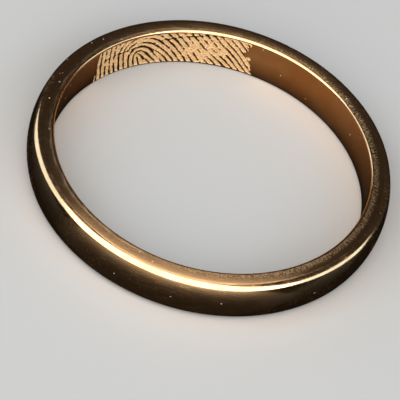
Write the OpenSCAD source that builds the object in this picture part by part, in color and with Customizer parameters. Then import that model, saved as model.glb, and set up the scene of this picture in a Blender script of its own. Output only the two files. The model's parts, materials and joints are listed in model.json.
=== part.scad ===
// A plain wedding band lying on its side, with its axis upright.
// The bore is a straight cylinder, both side faces are flat, and the outside is domed.
// The origin is on the axis, at the height of the side face that the ring rests on.

/* [Band] */
// Inside diameter, which sets the ring size
inside_d = 20.6; // [15:0.1:24]
// Width from one side face to the other
band_w = 3; // [2.6:0.1:4]
// Thickness at the crown of the domed outside
band_t = 1.5; // [1.4:0.05:1.8]

/* [Edges] */
// Flat part of a side face, from the bore to where the shoulder begins
side_flat = 0.85; // [0.7:0.05:0.9]
// Small radius where the shoulder breaks over into the dome
crease_r = 0.08; // [0.04:0.01:0.15]
// Slope of the surface at the dome's end of that crease, in degrees from upright
crease_from = 19; // [17:1:21]
// Slope at the shoulder's end
crease_to = 41; // [36:1:44]
// Radius of the softened edge at each end of the bore
bore_edge_r = 0.18; // [0.05:0.01:0.2]

/* [Hidden] */
$fn = 180;

bore_r = inside_d / 2;
half_w = band_w / 2;

// The section is drawn with X measured from the wall of the bore, and Y from mid width

// Height of a dome over half its width, when its ends slope as the crease begins
dome_rise = tan(crease_from / 2);
// What the crease takes of the thickness and of the width
crease_dx = crease_r * (cos(crease_from) - cos(crease_to));
crease_dy = crease_r * (sin(crease_to) - sin(crease_from));
// The shoulder's radius is the one that leaves the crown at full thickness
shoulder_room = band_t - side_flat - crease_dx - dome_rise * (half_w - crease_dy);
shoulder_r = shoulder_room / (cos(crease_to) - dome_rise * (1 - sin(crease_to)));

// Where the shoulder meets the crease, and where the crease meets the dome
turn_x = side_flat + shoulder_r * cos(crease_to);
turn_y = half_w - shoulder_r * (1 - sin(crease_to));
meet_x = turn_x + crease_dx;
meet_y = turn_y - crease_dy;
dome_r = meet_y / sin(crease_from);

// The crease's circle is this much larger than tangent, so that it covers the ends of both arcs
cover = 0.0002;

// Part of a circle between two angles, seen from its centre
module sector(centre, radius, from, to) {
    reach = 2 * radius;
    translate(centre)
        intersection() {
            circle(radius);
            polygon([[0, 0], [reach * cos(from), reach * sin(from)], [reach * cos(to), reach * sin(to)]]);
        }
}

// The dome is one arc centred at mid width, cut off inside the band
module dome() {
    intersection() {
        sector([band_t - dome_r, 0], dome_r, -crease_from, crease_from);
        translate([side_flat / 2, -half_w]) square([band_t, band_w]);
    }
}

// Shoulder on one side of the band, with the crease's whole circle inside its end
module shoulder(side) {
    crease_x = turn_x - crease_r * cos(crease_to);
    crease_y = turn_y - crease_r * sin(crease_to);
    sector([side_flat, side * (half_w - shoulder_r)], shoulder_r, side * crease_to, side * 90);
    translate([crease_x, side * crease_y]) circle(crease_r + cover);
}

// Straight-sided core under the arcs, with its softened edges at the bore
module core() {
    edge_y = half_w - bore_edge_r;
    translate([0, -edge_y]) square([side_flat, 2 * edge_y]);
    translate([bore_edge_r, -half_w]) square([side_flat - bore_edge_r, band_w]);
    for (side = [-1, 1])
        translate([bore_edge_r, side * edge_y]) circle(bore_edge_r);
}

// Cut through the band
module band_section() {
    core();
    dome();
    for (side = [-1, 1])
        shoulder(side);
}

module band() {
    color([0.86, 0.62, 0.38])
        translate([0, 0, half_w])
            rotate_extrude()
                translate([bore_r, 0])
                    band_section();
}

band();
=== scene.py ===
# A plain gold wedding band that lies on its side, with a print of ridges engraved into its inner wall.
# Everything is in metres. The axis of the band is Z, and the side face that it rests on is at z = 0.

import json

import bpy
import numpy as np
from mathutils import Matrix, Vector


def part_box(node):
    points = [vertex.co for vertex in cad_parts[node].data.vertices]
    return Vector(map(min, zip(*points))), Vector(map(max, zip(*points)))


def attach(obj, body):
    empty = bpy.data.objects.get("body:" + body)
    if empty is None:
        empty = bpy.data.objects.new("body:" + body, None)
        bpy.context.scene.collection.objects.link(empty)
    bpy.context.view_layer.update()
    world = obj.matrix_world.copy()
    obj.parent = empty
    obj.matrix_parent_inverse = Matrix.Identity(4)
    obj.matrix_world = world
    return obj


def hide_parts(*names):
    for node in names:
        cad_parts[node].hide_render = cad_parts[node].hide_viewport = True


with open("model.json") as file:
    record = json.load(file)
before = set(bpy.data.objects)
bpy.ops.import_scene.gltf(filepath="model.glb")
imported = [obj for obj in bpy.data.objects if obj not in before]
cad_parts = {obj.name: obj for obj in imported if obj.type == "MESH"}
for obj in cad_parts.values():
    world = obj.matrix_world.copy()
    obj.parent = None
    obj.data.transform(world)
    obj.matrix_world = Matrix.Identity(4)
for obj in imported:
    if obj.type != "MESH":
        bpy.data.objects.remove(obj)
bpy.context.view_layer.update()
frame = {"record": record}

mm = 0.001
boreMount = next(m for m in frame["record"]["mounts"] if m["kind"] == "bore")
boreRadius = boreMount["dims"]["r_mm"] * mm
bandLow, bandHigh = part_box("band")
outerRadius = min(-bandLow.x, bandHigh.x, -bandLow.y, bandHigh.y)
halfWidth = (bandHigh.z - bandLow.z) / 2
print(f"frame loaded: bore {boreRadius / mm:.2f} mm, outside {outerRadius / mm:.2f} mm in radius")


# The print

printShape = {
    "from": 148.75,  # where its straight edge lies round the wall, in degrees from +X
    "to": (90.5, 84.5),  # where its last ridges end, at the upper and the lower side face
    "ragged": 0.16 * mm,  # how far those ends stray
    "raggedSize": 0.12 * mm,  # and the size of the noise that moves them
    "pitch": 0.37 * mm,  # from one ridge to the next
    "depth": 0.055 * mm,
    "furrow": -1.0,  # ridge heights under this are furrows
    "slope": 0.30,  # how far the height runs from furrow to full depth
    "bare": -3.0,  # height where there is no print
    "core": (3.3 * mm, 1.3 * mm),  # the loop's core, from the straight edge and from the floor
    "coreWidth": 0.35 * mm,
    "tilt": 24.0,  # the loop opens this many degrees to the right of straight down
    "lean": (3.0, 1.0),  # how fast the ridges draw level with the loop's axis, left and right of the core
    "sway": 0.08,  # radians by which the ridges waver
    "swaySize": 0.45 * mm,
    "grit": (0.03 * mm, 0.14),  # size and strength of three noises that roughen the ridges
    "nicks": (0.07 * mm, 0.34),
    "patches": (0.35 * mm, 0.16),
    "crease": (1.55 * mm, 0.13, 0.065 * mm),  # height at the straight edge, rise per length, half its width
    "creaseStray": 0.06 * mm,  # how far patches shift it
    "creaseDepth": 2.6,  # in ridge heights, as the scar's is
    "creaseWhole": (0.7, 0.7),  # how whole it is, and how much of that comes and goes
    "scar": (4.4 * mm, 1.0 * mm, 0.5 * mm),  # from the straight edge and from the floor, and its radius
    "scarDepth": 0.5,
    "seed": 14,
    "directions": 36,  # the ridges are combed in this many directions
    "rounds": 14,
    "combWidth": 0.30,  # how far the comb lets a wave stray from the pitch, as a share of it
    "clip": 1.4,  # how hard the waves are clipped after each round
    "levelSize": 0.4 * mm,  # size of the stretches that are brought to one strength
    "border": 48,  # grid steps added all round, so that the wrap of the filters stays outside
}


def ridgeAngle(u, v):
    # Half the angle that a point makes with the core, less an eighth turn, which is a loop open downwards.
    # Points sink along a hyperbola away from the loop's axis, so that the ridges turn along it there.
    tilt, width = np.radians(printShape["tilt"]), printShape["coreWidth"]
    right, up = u - printShape["core"][0], v - printShape["core"][1]
    across = right * np.cos(tilt) + up * np.sin(tilt)
    above = up * np.cos(tilt) - right * np.sin(tilt)
    lean = np.where(across < 0, *printShape["lean"])
    sunk = above - lean * (np.hypot(across, width) - width)
    return 0.5 * np.arctan2(sunk, across) - np.pi / 4 + tilt


def frequencies(shape, step):
    # Waves per metre along the rows and along the columns, in the order of a Fourier transform.
    return np.fft.fftfreq(shape[1], step)[None, :], np.fft.fftfreq(shape[0], step)[:, None]


def lowPass(field, step, size):
    # The field's spectrum times that of a round Gaussian of the given size.
    fx, fy = frequencies(field.shape, step)
    return np.fft.ifft2(np.fft.fft2(field) * np.exp(-2 * (np.pi * size) ** 2 * (fx ** 2 + fy ** 2))).real


def softNoise(shape, step, size, seed):
    # White noise, smoothed to the given size and scaled to a spread of one.
    field = lowPass(np.random.default_rng(seed).normal(size=shape), step, size)
    return field / field.std()


def growRidges(u, v, step):
    # Noise is combed again and again with waves of the ridges' pitch that lie along the ridge angle.
    # Each direction is one band-pass of the whole field, and a point keeps the one nearest to its angle.
    # A soft clip after each round lets the waves lock into ridges that fork and end as they must.
    # At last the field is divided by its own strength nearby, so that the core is as deep as the rest.
    directions, seed = printShape["directions"], printShape["seed"]
    sway = printShape["sway"] * softNoise(u.shape, step, printShape["swaySize"], seed + 5)
    turn = np.mod(ridgeAngle(u, v) + sway, np.pi) / np.pi
    nearest = np.round(turn * directions).astype(int) % directions
    fx, fy = frequencies(u.shape, step)
    wave = 1 / printShape["pitch"]
    spread = 2 * (printShape["combWidth"] * wave) ** 2
    field = np.random.default_rng(seed).normal(size=u.shape)
    for _ in range(printShape["rounds"]):
        spectrum = np.fft.fft2(np.tanh(printShape["clip"] * field))
        combed = np.zeros_like(field)
        for k in range(directions):
            a = np.pi * k / directions
            along = fx * np.cos(a) + fy * np.sin(a)
            across = fy * np.cos(a) - fx * np.sin(a)
            comb = np.exp(-((np.abs(across) - wave) ** 2 + along ** 2) / spread)
            combed = np.where(nearest == k, np.fft.ifft2(spectrum * comb).real, combed)
        field = combed / combed.std()
    return field / np.sqrt(lowPass(field ** 2, step, printShape["levelSize"]))


def drawPrint(angles, heights, step):
    # Ridge height and cover of the print over a patch of the wall, columns by angle and rows by height.
    # The height is that of the grown ridges plus three noises, less a bell across the slanting crease and
    # a round one at the scar. The cover is one between the straight edge and the ragged ends.
    border, seed = printShape["border"], printShape["seed"]
    columns, rows = len(angles) + 2 * border, len(heights) + 2 * border
    start = (np.radians(printShape["from"]) - angles[-1]) * boreRadius
    u, v = np.meshgrid(start + (np.arange(columns) - border) * step,
                       heights[0] + (np.arange(rows) - border) * step)
    inside = (slice(border, rows - border), slice(border, columns - border))
    gritSize, gritShare = printShape["grit"]
    nickSize, nickShare = printShape["nicks"]
    patchSize, patchShare = printShape["patches"]
    ridge = growRidges(u, v, step)[inside]
    ends = softNoise(u.shape, step, printShape["raggedSize"], seed + 1)[inside]
    grit = softNoise(u.shape, step, gritSize, seed + 2)[inside]
    nicks = softNoise(u.shape, step, nickSize, seed + 3)[inside]
    patches = softNoise(u.shape, step, patchSize, seed + 4)[inside]
    u, v = u[inside], v[inside]

    upper, lower = (np.radians(printShape["from"] - end) * boreRadius for end in printShape["to"])
    last = lower + (upper - lower) * v / (2 * halfWidth) + printShape["ragged"] * ends
    cover = ((u > 0) & (u < last)).astype(float)

    ridge = ridge + gritShare * grit + nickShare * nicks + patchShare * patches
    base, rise, width = printShape["crease"]
    offLine = (v - base - rise * u - printShape["creaseStray"] * patches) / width
    whole, change = printShape["creaseWhole"]
    ridge = ridge - printShape["creaseDepth"] * np.exp(-offLine ** 2) * np.clip(whole + change * ends, 0, 1)
    scarU, scarV, radius = printShape["scar"]
    fromScar = ((u - scarU) ** 2 + (v - scarV) ** 2) / radius ** 2
    ridge = ridge - printShape["scarDepth"] * np.exp(-fromScar) * (1 + nicks)
    return ridge[:, ::-1].T, cover[:, ::-1].T


# The band

bandShape = {
    "sideFlat": 0.85 * mm,  # flat part of a side face, measured from the bore
    "crease": 0.08 * mm,  # small radius where the shoulder breaks over into the dome
    "creaseFrom": 19,  # slopes in degrees, off the ring's axis, at its two ends
    "creaseTo": 41,
    "crown": 0.04 * mm,  # how far a side face falls away towards its shoulder
    "boreEdge": 0.18 * mm,  # radius at each end of the bore
    "fineStep": 0.031 * mm,  # grid over the print
    "margin": 0.75,  # degrees of fine grid past each end of the print
    "coarseStep": 2.0,  # degrees from column to column elsewhere
    "domeSteps": 22,
    "creaseSteps": 4,
    "shoulderSteps": 10,
    "edgeSteps": 8,
    "sideSteps": 8,
}


def arc(centre, radius, start, end, steps):
    # Centre plus radius times (cos a, sin a), with a running evenly from start to end in radians.
    a = np.linspace(start, end, steps + 1)
    return np.stack([centre[0] + radius * np.cos(a), centre[1] + radius * np.sin(a)], 1)


def crownedSide():
    # From the shoulder to the bore's edge, sinking with the square of the way back to the shoulder.
    share = (1 - np.cos(np.linspace(0, np.pi, bandShape["sideSteps"] + 1))) / 2
    radius = boreRadius + bandShape["sideFlat"] + share * (bandShape["boreEdge"] - bandShape["sideFlat"])
    return np.stack([radius, halfWidth - bandShape["crown"] * (1 - share) ** 2], 1)


def bandSection():
    # Outline of the section in (radius, height above the middle), counter-clockwise from the lower crease.
    # The shoulder's circle runs on from the side face's slope, the crease's from the shoulder's, and the
    # dome's from the crease's. The shoulder's radius is the one that leaves the dome's top at full size.
    edge, crown, crease = bandShape["boreEdge"], bandShape["crown"], bandShape["crease"]
    lean = np.arctan(2 * crown / (bandShape["sideFlat"] - edge))
    meet, turn = np.radians(bandShape["creaseFrom"]), np.radians(bandShape["creaseTo"])
    startX, startY = boreRadius + bandShape["sideFlat"], halfWidth - crown
    fall = np.tan(meet / 2)  # a dome's rise over its half width, for its slope at the end
    room = outerRadius - startX - crease * (np.cos(meet) - np.cos(turn))
    room -= fall * (startY + crease * (np.sin(meet) - np.sin(turn)))
    shoulder = room / (np.cos(turn) - np.sin(lean) + fall * (np.sin(turn) - np.cos(lean)))
    turnX, turnY = startX - shoulder * np.sin(lean), startY - shoulder * np.cos(lean)
    creaseX = turnX + (shoulder - crease) * np.cos(turn)
    creaseY = turnY + (shoulder - crease) * np.sin(turn)
    domeRadius = creaseY / np.sin(meet) + crease
    edgeX, edgeY = boreRadius + edge, halfWidth - edge
    quarter = np.pi / 2
    wallSteps = int(round(2 * edgeY / bandShape["fineStep"]))
    wallHeights = np.linspace(edgeY, -edgeY, wallSteps + 1)
    side = crownedSide()
    stretches = [
        ("dome", arc((outerRadius - domeRadius, 0), domeRadius, -meet, meet, bandShape["domeSteps"])),
        ("dome", arc((creaseX, creaseY), crease, meet, turn, bandShape["creaseSteps"])),
        ("dome", arc((turnX, turnY), shoulder, turn, quarter - lean, bandShape["shoulderSteps"])),
        ("side", side),
        ("edge", arc((edgeX, edgeY), edge, quarter, 2 * quarter, bandShape["edgeSteps"])),
        ("wall", np.stack([np.full(wallSteps + 1, boreRadius), wallHeights], 1)),
        ("edge", arc((edgeX, -edgeY), edge, 2 * quarter, 3 * quarter, bandShape["edgeSteps"])),
        ("side", side[::-1] * (1, -1)),
        ("dome", arc((turnX, -turnY), shoulder, lean - quarter, -turn, bandShape["shoulderSteps"])),
        ("dome", arc((creaseX, -creaseY), crease, -turn, -meet, bandShape["creaseSteps"])),
    ]
    outline = np.concatenate([points[:-1] for _, points in stretches])
    zones = np.concatenate([[zone] * (len(points) - 1) for zone, points in stretches])
    return outline, zones


def bandAngles():
    # Even fine columns over the print, then even coarse ones round the rest.
    start = np.radians(min(printShape["to"]) - bandShape["margin"])
    end = np.radians(printShape["from"] + bandShape["margin"])
    fineSteps = int(round((end - start) * boreRadius / bandShape["fineStep"]))
    coarseSteps = int(round((2 * np.pi - (end - start)) / np.radians(bandShape["coarseStep"])))
    fine = np.linspace(start, end, fineSteps + 1)
    coarse = np.linspace(end, start + 2 * np.pi, coarseSteps + 1)
    return np.concatenate([fine, coarse[1:-1]]), len(fine)


def cutPrint(radius, height, angles, wallRows, step):
    # Over the print the wall goes back along the radius by the depth times s * s * (3 - 2 * s), where s is
    # the share of the way from furrow to full depth. Its top and bottom rows stay where the edges begin.
    ridge, cover = drawPrint(angles, height[0, wallRows], step)
    share = np.clip((ridge - printShape["furrow"]) / printShape["slope"], 0, 1)
    cut = cover * share * share * (3 - 2 * share)
    cut[:, [0, -1]] = 0
    patch = np.ix_(np.arange(len(angles)), wallRows)
    radius[patch] += printShape["depth"] * cut
    ridgeHeight = np.full(radius.shape, printShape["bare"])
    ridgeHeight[patch] = np.where(cover > 0, ridge, printShape["bare"])
    printCover = np.zeros(radius.shape)
    printCover[patch] = cover
    return ridgeHeight, printCover


def closedGridFaces(columns, rows):
    # Quads between each column and the next and each row and the next, both ways round.
    here = np.arange(columns * rows).reshape(columns, rows)
    nextColumn = np.roll(here, -1, axis=0)
    return np.stack([here, nextColumn, np.roll(nextColumn, -1, axis=1), np.roll(here, -1, axis=1)], -1)


def addLayer(mesh, name, values, kind="FLOAT", field="value"):
    # One number for each point of the grid, or one vector.
    layer = mesh.attributes.new(name, kind, "POINT")
    layer.data.foreach_set(field, values.astype(np.float32).ravel())


def addObject(name, data):
    # An object at the origin, in the scene's own collection.
    thing = bpy.data.objects.new(name, data)
    bpy.context.scene.collection.objects.link(thing)
    return thing


def buildBand(materials):
    # The section carried round the axis: (r cos a, r sin a, z), with the print cut into its wall.
    outline, zones = bandSection()
    angles, fineColumns = bandAngles()
    columns, rows = len(angles), len(outline)
    radius = np.tile(outline[:, 0], (columns, 1))
    height = np.tile(outline[:, 1] + halfWidth, (columns, 1))
    wallRows = np.flatnonzero(zones == "wall")
    upwards = np.append(wallRows, wallRows[-1] + 1)[::-1]
    step = outline[upwards[-1], 1] - outline[upwards[-2], 1]
    ridgeHeight, printCover = cutPrint(radius, height, angles[:fineColumns], upwards, step)

    turn = angles[:, None]
    points = np.stack([radius * np.cos(turn), radius * np.sin(turn), height], -1)
    mesh = bpy.data.meshes.new("band")
    mesh.from_pydata(points.reshape(-1, 3), [], closedGridFaces(columns, rows).reshape(-1, 4))
    mesh.shade_smooth()

    for material in materials:
        mesh.materials.append(material)
    # slots in the order of bandMaterials: polished outside 0, turned sides 1, bore 2 and engraved print 3
    onPrint = (np.arange(columns)[:, None] < fineColumns - 1) & (zones == "wall")
    slots = np.select([onPrint, zones == "side", zones == "wall"], [3, 1, 2], 0)
    mesh.polygons.foreach_set("material_index", slots.astype(np.int32).ravel())

    # where grain lies on the band: round the bore in X and Y, and along the section in Z
    along = np.concatenate([[0], np.cumsum(np.hypot(*np.diff(outline, axis=0).T))])
    places = np.broadcast_arrays(boreRadius * np.cos(turn), boreRadius * np.sin(turn), along)
    addLayer(mesh, "bandPlace", np.stack(places, -1), "FLOAT_VECTOR", "vector")
    addLayer(mesh, "towardBore", 1 - (radius - boreRadius) / bandShape["sideFlat"])
    addLayer(mesh, "ridgeHeight", ridgeHeight)
    addLayer(mesh, "printCover", printCover)
    mesh.update()

    band = addObject("goldBand", mesh)
    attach(band, "root")
    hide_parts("band")
    print(f"band built: {columns} by {rows} points, {2 * len(mesh.polygons)} triangles")


# The effects that the finishes share

effects = {
    "hairTurns": ((0.3, 0.5, 0.2), (1.2, -0.4, 1.3), (-0.7, 0.9, 2.3)),  # three directions, in radians
    "hairStretch": (0.06, 1.0, 1.0),  # hairlines are about seventeen times as long as wide
    "hairNoise": {"Detail": 1.0, "Distortion": 0.0},
    "dustColour": (0.42, 0.38, 0.33, 1),
    "dustMetal": 0.2,
    "dustFade": 1.5,  # a speck is gone at this many times its size
    "wearNoise": {"Detail": 4.0, "Roughness": 0.6, "Distortion": 0.4},
    "wearReach": (0.32, 0.68),  # this stretch of the noise is spread over nought to one
    "grainNoise": {"Detail": 3.0, "Roughness": 0.65},
}


def feed(tree, socket, value):
    # Links the socket if the value is another node's output, and sets it if it is a number or a colour.
    if isinstance(value, bpy.types.NodeSocket):
        tree.links.new(value, socket)
    else:
        socket.default_value = value


def addNode(tree, kind, inputs=None, **settings):
    # The settings come first, since some of them change the node's sockets.
    node = tree.nodes.new(kind)
    for name, value in settings.items():
        setattr(node, name, value)
    for name, value in (inputs or {}).items():
        feed(tree, node.inputs[name], value)
    return node


def combine(tree, operation, first, second):
    # One Math node on two values.
    return addNode(tree, "ShaderNodeMath", {0: first, 1: second}, operation=operation).outputs[0]


def mixColour(tree, share, first, second):
    # The first colour where the share is nought, and the second where it is one.
    inputs = {"Factor": share, 6: first, 7: second}
    return addNode(tree, "ShaderNodeMix", inputs, data_type="RGBA").outputs[2]


def blendFrom(tree, value, ends=(0.0, 1.0), reach=(0.0, 1.0), kind="LINEAR"):
    # From the first end to the second while the value runs over the reach, and level on either side.
    inputs = {"Value": value, "From Min": reach[0], "From Max": reach[1]}
    inputs.update({"To Min": ends[0], "To Max": ends[1]})
    return addNode(tree, "ShaderNodeMapRange", inputs, interpolation_type=kind).outputs["Result"]


def newGroup(name, inputs, output):
    # An empty group whose inputs are vectors or numbers, as their starting values are, with one output.
    tree = bpy.data.node_groups.new(name, "ShaderNodeTree")
    for label, value in inputs.items():
        kind = "NodeSocketVector" if isinstance(value, tuple) else "NodeSocketFloat"
        tree.interface.new_socket(label, in_out="INPUT", socket_type=kind).default_value = value
    tree.interface.new_socket(output, in_out="OUTPUT", socket_type="NodeSocketFloat")
    return tree, tree.nodes.new("NodeGroupInput").outputs, tree.nodes.new("NodeGroupOutput").inputs[output]


def buildHairlines():
    # Noise stretched in three directions. Each line is one less the noise's distance from a half over
    # the width, so that only a thin slice of its values shows, and the strongest of the three counts.
    inputs = {"Vector": (0.0, 0.0, 0.0), "Scale": 2500.0, "Width": 0.03}
    tree, given, mask = newGroup("hairlineScratches", inputs, "Mask")
    lines = 0.0
    for turn in effects["hairTurns"]:
        turned = addNode(tree, "ShaderNodeMapping",
                         {"Vector": given["Vector"], "Rotation": turn, "Scale": effects["hairStretch"]})
        noise = addNode(tree, "ShaderNodeTexNoise",
                        {"Vector": turned.outputs[0], "Scale": given["Scale"], **effects["hairNoise"]})
        offset = combine(tree, "SUBTRACT", noise.outputs["Fac"], 0.5)
        away = addNode(tree, "ShaderNodeMath", {0: offset}, operation="ABSOLUTE").outputs[0]
        lines = combine(tree, "MAXIMUM", lines, blendFrom(tree, away, (1.0, 0.0), (0.0, given["Width"])))
    feed(tree, mask, lines)
    return tree


def buildDust():
    # Specks: one within the given size of scattered points, and fading to nought a little farther out.
    inputs = {"Vector": (0.0, 0.0, 0.0), "Scale": 2200.0, "Size": 0.12}
    tree, given, mask = newGroup("dustSpecks", inputs, "Mask")
    cells = addNode(tree, "ShaderNodeTexVoronoi", {"Vector": given["Vector"], "Scale": given["Scale"]})
    gone = combine(tree, "MULTIPLY", given["Size"], effects["dustFade"])
    feed(tree, mask, blendFrom(tree, cells.outputs["Distance"], (1.0, 0.0), (given["Size"], gone)))
    return tree


def buildWear():
    # Smudges: the middle stretch of a noise, spread over nought to one by a smooth step.
    tree, given, mask = newGroup("softWear", {"Vector": (0.0, 0.0, 0.0), "Scale": 400.0}, "Mask")
    noise = addNode(tree, "ShaderNodeTexNoise",
                    {"Vector": given["Vector"], "Scale": given["Scale"], **effects["wearNoise"]})
    feed(tree, mask, blendFrom(tree, noise.outputs["Fac"], (0.0, 1.0), effects["wearReach"], "SMOOTHSTEP"))
    return tree


def buildGrain():
    # Noise over the band's own place times a stretch, so that it runs along the section or round the ring.
    tree, given, height = newGroup("bandGrain", {"Stretch": (1.0, 1.0, 1.0), "Scale": 9000.0}, "Height")
    place = addNode(tree, "ShaderNodeAttribute", attribute_name="bandPlace").outputs["Vector"]
    stretched = addNode(tree, "ShaderNodeVectorMath", {0: place, 1: given["Stretch"]}, operation="MULTIPLY")
    noise = addNode(tree, "ShaderNodeTexNoise",
                    {"Vector": stretched.outputs[0], "Scale": given["Scale"], **effects["grainNoise"]})
    feed(tree, height, noise.outputs["Fac"])
    return tree


groups = {
    "hairlines": buildHairlines(),
    "dust": buildDust(),
    "wear": buildWear(),
    "grain": buildGrain(),
}
print("effects built:", ", ".join(groups))


def useGroup(tree, name, inputs):
    # One of the effects, placed in a material with that material's own values.
    return addNode(tree, "ShaderNodeGroup", inputs, node_tree=groups[name]).outputs[0]


def newMaterial(name, metallic):
    # A Principled shader on the surface, and the coordinates that the finishes read.
    material = bpy.data.materials.new(name)
    material.use_nodes = True
    tree = material.node_tree
    tree.nodes.clear()
    shader = addNode(tree, "ShaderNodeBsdfPrincipled", {"Metallic": metallic})
    addNode(tree, "ShaderNodeOutputMaterial", {"Surface": shader.outputs["BSDF"]})
    coords = tree.nodes.new("ShaderNodeTexCoord").outputs["Object"]
    return material, tree, shader, coords


def settleDust(tree, shader, dust, colour, roughness, dull):
    # Where a speck lies, the colour is the dust's, the roughness rises by dull, and the metal is covered.
    roughness = combine(tree, "ADD", roughness, blendFrom(tree, dust, (0.0, dull)))
    feed(tree, shader.inputs["Base Color"], mixColour(tree, dust, colour, effects["dustColour"]))
    feed(tree, shader.inputs["Roughness"], roughness)
    feed(tree, shader.inputs["Metallic"], blendFrom(tree, dust, (1.0, effects["dustMetal"])))


def addBump(tree, shader, height, distance):
    # Tilts the normal as if the surface rose by the distance where the height is one.
    bump = addNode(tree, "ShaderNodeBump", {"Height": height, "Distance": distance, "Strength": 1.0})
    feed(tree, shader.inputs["Normal"], bump.outputs["Normal"])


# The polished outside and bore

polish = {
    "polishedGold": {
        "clear": (0.92, 0.57, 0.29, 1),
        "smudged": (0.82, 0.47, 0.22, 1),
        "rough": (0.07, 0.20),  # clear and smudged
    },
    # the bore is a warmer, brighter copy of the outside's gold: painted warm light in the bore
    "boreGoldPaintedWarm": {
        "clear": (1.0, 0.60, 0.28, 1),
        "smudged": (0.90, 0.45, 0.17, 1),
        "rough": (0.07, 0.13),
    },
    "wear": {"Scale": 380.0},
    "hairlines": {"Scale": 2600.0, "Width": 0.02},
    "hairlineRough": 0.12,  # added to the roughness by a hairline
    "dust": {"Scale": 1100.0, "Size": 0.036},
    "dustRough": 0.6,  # and by a speck
    "relief": 0.0008 * mm,  # specks stand out by this, and hairlines are cut in by it
}


def buildPolishedGold(name):
    # Mirror-bright, dulled by smudges from the first roughness to the second, with hairlines and some dust.
    material, tree, shader, coords = newMaterial(name, 1.0)
    wear = useGroup(tree, "wear", {"Vector": coords, **polish["wear"]})
    hairs = useGroup(tree, "hairlines", {"Vector": coords, **polish["hairlines"]})
    dust = useGroup(tree, "dust", {"Vector": coords, **polish["dust"]})
    colour = mixColour(tree, wear, polish[name]["clear"], polish[name]["smudged"])
    roughness = combine(tree, "ADD", blendFrom(tree, wear, polish[name]["rough"]),
                        blendFrom(tree, hairs, (0.0, polish["hairlineRough"])))
    settleDust(tree, shader, dust, colour, roughness, polish["dustRough"])
    addBump(tree, shader, combine(tree, "SUBTRACT", dust, hairs), polish["relief"])
    return material


# The turned side faces

turning = {
    "colour": (0.96, 0.57, 0.28, 1),
    # the turning's streaks are painted darker towards this: a painted shade of the grooves
    "paintedGrooveShade": (0.60, 0.33, 0.15, 1),
    "scuffed": (0.96, 0.66, 0.39, 1),
    "anisotropy": 0.80,
    "grooveTurn": 0.25,  # as a share of a full turn, for grooves that run round the ring
    "wear": {"Scale": 900.0},
    "ragged": (-0.04, 0.04),  # how far smudges shift the places on the side face
    "hairlines": {"Scale": 3000.0, "Width": 0.03},
    "hairlineScuff": 0.2,  # share of a full scuff that a hairline is
    "dust": {"Scale": 1300.0, "Size": 0.05},
    "dustRough": 0.3,
    "sand": {"Stretch": (1.0, 1.0, 0.5), "Scale": 12000.0},
    "streaks": {"Stretch": (0.07, 0.07, 1.0), "Scale": 11000.0},
    # the next ones each hold two ends, and then the reach over which the first turns into the second
    "sandGrains": ((0.0, 1.0), (0.48, 0.60)),  # over the noise's values
    "streakGrains": ((0.1, 0.9), (0.42, 0.60)),
    "sandFrom": ((0.0, 1.0), (0.20, 0.60)),  # over the side face, from 0 at the shoulder to 1 at the bore
    "lineFrom": ((0.0, 1.0), (0.50, 0.64)),
    "lineTo": ((1.0, 0.0), (0.73, 0.80)),
    "rough": ((0.17, 0.22), (0.1, 0.6)),
    "sandAlongX": ((0.15, 1.0), (-3 * mm, 9 * mm)),  # most of the sand is on the side towards +X
    "lineAlongX": ((1.0, 0.4), (-9 * mm, 0.0)),
    "scuffRough": 0.22,  # added to the roughness by a full scuff
    "relief": 0.0015 * mm,
    "streakRelief": 0.6,  # shares of the relief that streaks and sand take
    "sandRelief": 2.5,
}


def buildTurnedGold():
    # The side faces, turned on a lathe and then rubbed by wear. Scuffs scatter the light of the lamps, so
    # they show light on the darker polish: fine sand over the inner half, and a streaked line by the bore.
    # Each is its grains times its window across the side face times its share along X.
    material, tree, shader, coords = newMaterial("turnedGold", 1.0)
    wear = useGroup(tree, "wear", {"Vector": coords, **turning["wear"]})
    hairs = useGroup(tree, "hairlines", {"Vector": coords, **turning["hairlines"]})
    dust = useGroup(tree, "dust", {"Vector": coords, **turning["dust"]})
    sand = useGroup(tree, "grain", turning["sand"])
    streaks = useGroup(tree, "grain", turning["streaks"])
    toward = addNode(tree, "ShaderNodeAttribute", attribute_name="towardBore").outputs["Fac"]
    across = combine(tree, "ADD", toward, blendFrom(tree, wear, turning["ragged"]))
    alongX = addNode(tree, "ShaderNodeSeparateXYZ", {"Vector": coords}).outputs["X"]

    sandShare = combine(tree, "MULTIPLY", blendFrom(tree, across, *turning["sandFrom"]),
                        blendFrom(tree, alongX, *turning["sandAlongX"]))
    sanded = combine(tree, "MULTIPLY", blendFrom(tree, sand, *turning["sandGrains"]), sandShare)
    lineShare = combine(tree, "MULTIPLY", blendFrom(tree, across, *turning["lineFrom"]),
                        blendFrom(tree, across, *turning["lineTo"]))
    lineShare = combine(tree, "MULTIPLY", lineShare, blendFrom(tree, alongX, *turning["lineAlongX"]))
    streaked = combine(tree, "MULTIPLY", blendFrom(tree, streaks, *turning["streakGrains"]), lineShare)
    scratched = blendFrom(tree, hairs, (0.0, turning["hairlineScuff"]))
    scuffs = combine(tree, "MAXIMUM", combine(tree, "MAXIMUM", sanded, streaked), scratched)

    # streaks darken the colour towards the painted shade of the grooves
    colour = mixColour(tree, streaks, turning["colour"], turning["paintedGrooveShade"])
    colour = mixColour(tree, scuffs, colour, turning["scuffed"])
    roughness = combine(tree, "ADD", blendFrom(tree, across, *turning["rough"]),
                        blendFrom(tree, scuffs, (0.0, turning["scuffRough"])))
    settleDust(tree, shader, dust, colour, roughness, turning["dustRough"])
    shader.inputs["Anisotropic"].default_value = turning["anisotropy"]
    shader.inputs["Anisotropic Rotation"].default_value = turning["grooveTurn"]
    relief = combine(tree, "ADD", blendFrom(tree, streaks, (0.0, turning["streakRelief"])),
                     blendFrom(tree, sanded, (0.0, turning["sandRelief"])))
    addBump(tree, shader, relief, turning["relief"])
    return material


# The engraved print and the wall round it

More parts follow.
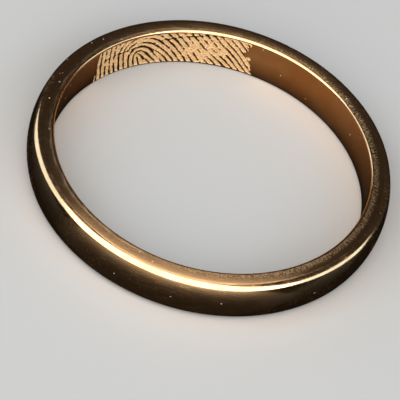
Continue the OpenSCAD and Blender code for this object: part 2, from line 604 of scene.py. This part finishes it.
engraving = {
    "frost": (0.78, 0.51, 0.245, 1),
    # the frost in the grit's pits, in painted shade
    "frostInPaintedShade": (0.34, 0.19, 0.08, 1),
    # the print's ground, painted dark: a painted dark reflection that shows in the furrows
    "furrow": (0.10, 0.05, 0.02, 1),
    "wear": {"Scale": 380.0},
    "grit": {"Scale": 12000.0, "Detail": 3.0, "Roughness": 0.7},
    "frayed": (-0.5, 0.5),  # what grit adds to the ridge height
    "paintedSparkle": ((0.0, 1.0), (0.38, 0.58)),  # painted sparkle: from the frost in painted shade to the bright frost, over the grit's values
    "wallRough": (0.08, 0.15),  # clear and smudged
    "furrowRough": 0.25,  # added to that in the furrows
    "frostRough": 0.62,
    "frostMetal": 0.2,
    "relief": 0.012 * mm,  # of the grit on the frost
}


def buildEngravedGold():
    # The wall is coloured as the bore is, in its painted warm gold, and its furrows are painted dark, a
    # painted dark reflection. Frost takes over by a smooth step of the ridge height, on the same slope as
    # the cut in the mesh, and grit frays its border and mottles it, with painted shade in its pits and
    # painted sparkle on its grains.
    material, tree, shader, coords = newMaterial("engravedGold", 1.0)
    wear = useGroup(tree, "wear", {"Vector": coords, **engraving["wear"]})
    grit = addNode(tree, "ShaderNodeTexNoise", {"Vector": coords, **engraving["grit"]}).outputs["Fac"]
    ridge = addNode(tree, "ShaderNodeAttribute", attribute_name="ridgeHeight").outputs["Fac"]
    cover = addNode(tree, "ShaderNodeAttribute", attribute_name="printCover").outputs["Fac"]
    frayed = combine(tree, "ADD", ridge, blendFrom(tree, grit, engraving["frayed"]))
    slope = (printShape["furrow"], printShape["furrow"] + printShape["slope"])
    frost = blendFrom(tree, frayed, (0.0, 1.0), slope, "SMOOTHSTEP")

    # painted sparkle on the grit's grains and painted shade in its pits, mottling the frost
    paintedSparkle = blendFrom(tree, grit, *engraving["paintedSparkle"])
    frosted = mixColour(tree, paintedSparkle, engraving["frostInPaintedShade"], engraving["frost"])
    wall = mixColour(tree, wear, polish["boreGoldPaintedWarm"]["clear"], polish["boreGoldPaintedWarm"]["smudged"])
    # over the print the ground is painted dark, a painted dark reflection in the furrows
    ground = mixColour(tree, cover, wall, engraving["furrow"])
    smooth = combine(tree, "ADD", blendFrom(tree, wear, engraving["wallRough"]),
                     blendFrom(tree, cover, (0.0, engraving["furrowRough"])))
    roughness = addNode(tree, "ShaderNodeMix", {"Factor": frost, 2: smooth, 3: engraving["frostRough"]},
                        data_type="FLOAT").outputs[0]
    feed(tree, shader.inputs["Base Color"], mixColour(tree, frost, ground, frosted))
    feed(tree, shader.inputs["Roughness"], roughness)
    feed(tree, shader.inputs["Metallic"], blendFrom(tree, frost, (1.0, engraving["frostMetal"])))
    addBump(tree, shader, combine(tree, "MULTIPLY", grit, frost), engraving["relief"])
    return material


bandMaterials = [
    buildPolishedGold("polishedGold"),
    buildTurnedGold(),
    buildPolishedGold("boreGoldPaintedWarm"),
    buildEngravedGold(),
]
print("finishes built:", ", ".join(m.name for m in bandMaterials))
buildBand(bandMaterials)


# The studio

studio = {
    "floorSize": 3.0,
    "floorColour": (0.37, 0.364, 0.355, 1),
    "floorRoughness": 0.5,
    "floorGloss": 0.2,
    "paintedDarkMirroredFloor": (0.006, 0.005, 0.004, 1),  # painted dark reflection: the floor as the gold mirrors it is painted darker, for contrast on the gold
    "paintedWarmMirroredInside": (0.112, 0.080, 0.053, 1),  # painted warm light: the same inside the ring, painted warm as if lit from the bore
    "paintedWarmReach": (8.5 * mm, 10.25 * mm),  # full up to the first radius, gone at the second
    "mirroredRoughness": 0.06,
    "mirroredGloss": 0.03,
    "airColour": (0.03, 0.027, 0.024, 1),
    "warm": (1.0, 0.985, 0.96),
    "cool": (0.74, 0.96, 1.22),  # in which the shoulders shine cream
    "lampDistance": 0.60,
    "softboxes": {  # colour, azimuth from +X, elevation and roll in degrees, width, height and watts
        "front": ("warm", -92, 46.5, -16, 1.60, 1.06, 17.4),
        "top": ("warm", 90, 75, 0, 0.26, 0.34, 0.30),
        "left": ("cool", 172, 31.5, 36, 0.69, 0.37, 1.24),
        "right": ("cool", -2.5, 31, -32, 0.66, 0.27, 0.94),
    },
}


def buildFloor():
    # A pale matte square. What the gold mirrors of it is polished and painted dark, a painted reflection,
    # because rays that come off a glossy surface see the second of its two shaders, painted warm near the
    # ring's axis.
    half = studio["floorSize"] / 2
    mesh = bpy.data.meshes.new("floor")
    mesh.from_pydata([(-half, -half, 0), (half, -half, 0), (half, half, 0), (-half, half, 0)], [],
                     [(0, 1, 2, 3)])
    material, tree, pale, coords = newMaterial("paleFloor", 0.0)
    pale.inputs["Base Color"].default_value = studio["floorColour"]
    pale.inputs["Roughness"].default_value = studio["floorRoughness"]
    pale.inputs["Specular IOR Level"].default_value = studio["floorGloss"]
    away = addNode(tree, "ShaderNodeVectorMath", {0: coords}, operation="LENGTH").outputs["Value"]
    # a painted pool of warm light inside the ring, seen only in what the gold mirrors
    inside = blendFrom(tree, away, (1.0, 0.0), studio["paintedWarmReach"])
    mirrored = addNode(tree, "ShaderNodeBsdfPrincipled", {
        "Base Color": mixColour(tree, inside, studio["paintedDarkMirroredFloor"], studio["paintedWarmMirroredInside"]),
        "Roughness": studio["mirroredRoughness"],
        "Specular IOR Level": studio["mirroredGloss"],
    })
    glossyRay = addNode(tree, "ShaderNodeLightPath").outputs["Is Glossy Ray"]
    both = addNode(tree, "ShaderNodeMixShader",
                   {0: glossyRay, 1: pale.outputs["BSDF"], 2: mirrored.outputs["BSDF"]})
    feed(tree, tree.nodes["Material Output"].inputs["Surface"], both.outputs[0])
    mesh.materials.append(material)
    addObject("floor", mesh)


def turnPair(first, second, degrees):
    # Both vectors of a right-angled pair, turned in their plane.
    a = np.radians(degrees)
    return first * np.cos(a) + second * np.sin(a), second * np.cos(a) - first * np.sin(a)


def stand(right, up, back, place):
    # A matrix whose columns are the object's own X, Y and Z axes and the place where it stands.
    matrix = np.eye(4)
    matrix[:3] = np.stack([right, up, back, place], 1)
    return Matrix(matrix)


def aimed(azimuth, elevation, roll, distance):
    # A place on a sphere round the ring, with the -Z axis looking at the middle.
    a, e = np.radians(azimuth), np.radians(elevation)
    back = np.array([np.cos(a) * np.cos(e), np.sin(a) * np.cos(e), np.sin(e)])
    level = np.array([-np.sin(a), np.cos(a), 0])
    side, up = turnPair(level, np.cross(back, level), roll)
    return stand(side, up, back, back * distance)


def buildLights():
    # Soft boxes on one sphere, each facing the ring, and a faint even light from all round.
    for name, (colour, azimuth, elevation, roll, width, height, power) in studio["softboxes"].items():
        lamp = bpy.data.lights.new(name, "AREA")
        lamp.shape = "RECTANGLE"
        lamp.size, lamp.size_y = width, height
        lamp.energy = power
        lamp.color = studio[colour]
        addObject(name, lamp).matrix_world = aimed(azimuth, elevation, roll, studio["lampDistance"])
    world = bpy.data.worlds.new("studioAir")
    world.use_nodes = True
    world.node_tree.nodes["Background"].inputs["Color"].default_value = studio["airColour"]
    bpy.context.scene.world = world


# The camera

view = {
    "distance": 250 * mm,
    "elevation": 46.238,  # degrees, as the next three are
    "pitch": -0.3022,  # pitch and yaw turn the aim off the ring's middle
    "yaw": 0.0197,
    "roll": 16.939,
    "lens": 350.4,  # millimetres, as the sensor is
    "sensorWidth": 36.0,
    "clip": (0.01, 10.0),
}


def buildCamera():
    # On a sphere round the ring, over -Y and looking at the middle, then turned by yaw, pitch and roll.
    e = np.radians(view["elevation"])
    place = view["distance"] * np.array([0, -np.cos(e), np.sin(e)])
    right, ahead = np.array([1.0, 0, 0]), np.array([0, np.cos(e), -np.sin(e)])
    up = np.cross(right, ahead)
    ahead, right = turnPair(ahead, right, view["yaw"])
    ahead, up = turnPair(ahead, up, view["pitch"])
    right, up = turnPair(right, up, view["roll"])
    lens = bpy.data.cameras.new("camera")
    lens.lens = view["lens"]
    lens.sensor_width = view["sensorWidth"]
    lens.clip_start, lens.clip_end = view["clip"]
    camera = addObject("camera", lens)
    camera.matrix_world = stand(right, up, -ahead, place)
    bpy.context.scene.camera = camera


buildFloor()
buildLights()
buildCamera()
bpy.context.scene.view_settings.view_transform = "Standard"
print("studio built")
